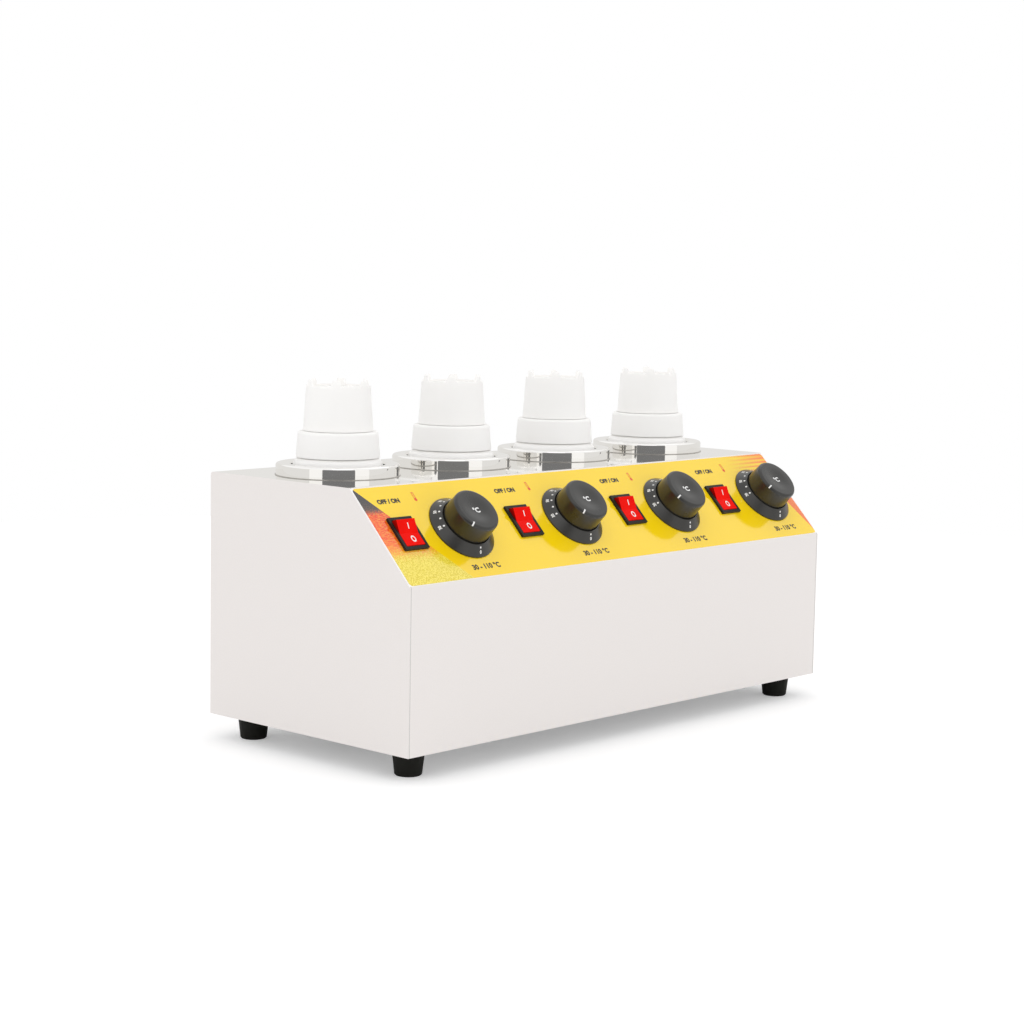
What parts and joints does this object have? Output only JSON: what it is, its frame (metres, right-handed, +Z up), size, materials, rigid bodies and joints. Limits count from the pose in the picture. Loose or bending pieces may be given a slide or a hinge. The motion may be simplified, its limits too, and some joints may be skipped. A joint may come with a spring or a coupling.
{
  "type": "hot fudge topping warmer",
  "caption": "Countertop sauce and hot fudge warmer: squeeze bottles stand in heated wells in a steel casing with a sloping console of rocker switches and thermostat knobs.",
  "frame": {"origin": "on the table under the middle of the whole outline, cable gland included", "axes": "+X along the row of wells to the right as a user facing the console sees it, +Y from the console to the back, +Z up"},
  "size_m": [0.52, 0.242, 0.2947],
  "materials": {
    "case_steel": "satin light grey",
    "plain_steel": "satin",
    "polished_steel": "mirror polished",
    "well_steel": "drawn stainless",
    "printed_film": "printed film, satin",
    "black_rubber": "matt",
    "black_plastic": "satin moulded",
    "red_plastic": "gloss moulded",
    "milky_plastic": "translucent milky polypropylene",
    "heater_mat": "silicone",
    "stat_body": "moulded",
    "ceramic": "glazed",
    "wire": "wire insulation"
  },
  "bodies": {
    "root": {"housing": "case_steel", "end_panels": "case_steel", "base_plate": "plain_steel", "control_overlay": "printed_film", "rubber_feet": "black_rubber", "foot_screws": "plain_steel", "base_screws": "plain_steel", "bush_nuts": "plain_steel", "cable_gland": "black_plastic", "gland_locknut": "black_plastic", "terminal_block": "ceramic", "wiring_harness": "wire", "collar_ring_1": "polished_steel", "collar_ring_2": "polished_steel", "collar_ring_3": "polished_steel", "collar_ring_4": "polished_steel", "well_can_1": "well_steel", "well_can_2": "well_steel", "well_can_3": "well_steel", "well_can_4": "well_steel", "heater_band_1": "heater_mat", "heater_band_2": "heater_mat", "heater_band_3": "heater_mat", "heater_band_4": "heater_mat", "thermostat_1": "stat_body", "thermostat_2": "stat_body", "thermostat_3": "stat_body", "thermostat_4": "stat_body", "dial_skirt_1": "black_plastic", "dial_skirt_2": "black_plastic", "dial_skirt_3": "black_plastic", "dial_skirt_4": "black_plastic", "switch_housing_1": "black_plastic", "switch_housing_2": "black_plastic", "switch_housing_3": "black_plastic", "switch_housing_4": "black_plastic"},
    "knob_1": {"knob_1": "black_plastic", "knob_shaft_1": "plain_steel"},
    "rocker_1": {"rocker_1": "red_plastic"},
    "bottle_1": {"bottle_1": "milky_plastic"},
    "cap_1": {"screw_cap_1": "milky_plastic"},
    "overcap_1": {"overcap_1": "milky_plastic"},
    "knob_2": {"knob_2": "black_plastic", "knob_shaft_2": "plain_steel"},
    "rocker_2": {"rocker_2": "red_plastic"},
    "bottle_2": {"bottle_2": "milky_plastic"},
    "cap_2": {"screw_cap_2": "milky_plastic"},
    "overcap_2": {"overcap_2": "milky_plastic"},
    "knob_3": {"knob_3": "black_plastic", "knob_shaft_3": "plain_steel"},
    "rocker_3": {"rocker_3": "red_plastic"},
    "bottle_3": {"bottle_3": "milky_plastic"},
    "cap_3": {"screw_cap_3": "milky_plastic"},
    "overcap_3": {"overcap_3": "milky_plastic"},
    "knob_4": {"knob_4": "black_plastic", "knob_shaft_4": "plain_steel"},
    "rocker_4": {"rocker_4": "red_plastic"},
    "bottle_4": {"bottle_4": "milky_plastic"},
    "cap_4": {"screw_cap_4": "milky_plastic"},
    "overcap_4": {"overcap_4": "milky_plastic"}
  },
  "joints": [
    {"name": "knob_turn_1", "type": "hinge", "parent": "root", "child": "knob_1", "pos_m": [-0.172, -0.0875, 0.1835], "axis": [0, 0.7174, -0.6966], "range_deg": [-46, 184]},
    {"name": "rocker_press_1", "type": "hinge", "parent": "root", "child": "rocker_1", "pos_m": [-0.231, -0.08693, 0.18294], "axis": [-1, 0, 0], "range_deg": [0, 22]},
    {"name": "bottle_lift_1", "type": "slide", "parent": "root", "child": "bottle_1", "axis": [0, 0, 1], "range_m": [0, 0.19]},
    {"name": "cap_unscrew_1", "type": "hinge", "parent": "bottle_1", "child": "cap_1", "pos_m": [-0.195, 0.029, 0.2326], "axis": [0, 0, 1], "range_deg": [0, 450]},
    {"name": "overcap_pull_1", "type": "slide", "parent": "cap_1", "child": "overcap_1", "axis": [0, 0, 1], "range_m": [0, 0.05]},
    {"name": "knob_turn_2", "type": "hinge", "parent": "root", "child": "knob_2", "pos_m": [-0.042, -0.0875, 0.1835], "axis": [0, 0.7174, -0.6966], "range_deg": [-48, 182]},
    {"name": "rocker_press_2", "type": "hinge", "parent": "root", "child": "rocker_2", "pos_m": [-0.101, -0.08693, 0.18294], "axis": [-1, 0, 0], "range_deg": [0, 22]},
    {"name": "bottle_lift_2", "type": "slide", "parent": "root", "child": "bottle_2", "axis": [0, 0, 1], "range_m": [0, 0.19]},
    {"name": "cap_unscrew_2", "type": "hinge", "parent": "bottle_2", "child": "cap_2", "pos_m": [-0.065, 0.029, 0.2326], "axis": [0, 0, 1], "range_deg": [0, 450]},
    {"name": "overcap_pull_2", "type": "slide", "parent": "cap_2", "child": "overcap_2", "axis": [0, 0, 1], "range_m": [0, 0.05]},
    {"name": "knob_turn_3", "type": "hinge", "parent": "root", "child": "knob_3", "pos_m": [0.088, -0.0875, 0.1835], "axis": [0, 0.7174, -0.6966], "range_deg": [-66, 164]},
    {"name": "rocker_press_3", "type": "hinge", "parent": "root", "child": "rocker_3", "pos_m": [0.029, -0.08693, 0.18294], "axis": [-1, 0, 0], "range_deg": [0, 22]},
    {"name": "bottle_lift_3", "type": "slide", "parent": "root", "child": "bottle_3", "axis": [0, 0, 1], "range_m": [0, 0.19]},
    {"name": "cap_unscrew_3", "type": "hinge", "parent": "bottle_3", "child": "cap_3", "pos_m": [0.065, 0.029, 0.2326], "axis": [0, 0, 1], "range_deg": [0, 450]},
    {"name": "overcap_pull_3", "type": "slide", "parent": "cap_3", "child": "overcap_3", "axis": [0, 0, 1], "range_m": [0, 0.05]},
    {"name": "knob_turn_4", "type": "hinge", "parent": "root", "child": "knob_4", "pos_m": [0.218, -0.0875, 0.1835], "axis": [0, 0.7174, -0.6966], "range_deg": [-67, 163]},
    {"name": "rocker_press_4", "type": "hinge", "parent": "root", "child": "rocker_4", "pos_m": [0.159, -0.08693, 0.18294], "axis": [-1, 0, 0], "range_deg": [0, 22]},
    {"name": "bottle_lift_4", "type": "slide", "parent": "root", "child": "bottle_4", "axis": [0, 0, 1], "range_m": [0, 0.19]},
    {"name": "cap_unscrew_4", "type": "hinge", "parent": "bottle_4", "child": "cap_4", "pos_m": [0.195, 0.029, 0.2326], "axis": [0, 0, 1], "range_deg": [0, 450]},
    {"name": "overcap_pull_4", "type": "slide", "parent": "cap_4", "child": "overcap_4", "axis": [0, 0, 1], "range_m": [0, 0.05]}
  ]
}
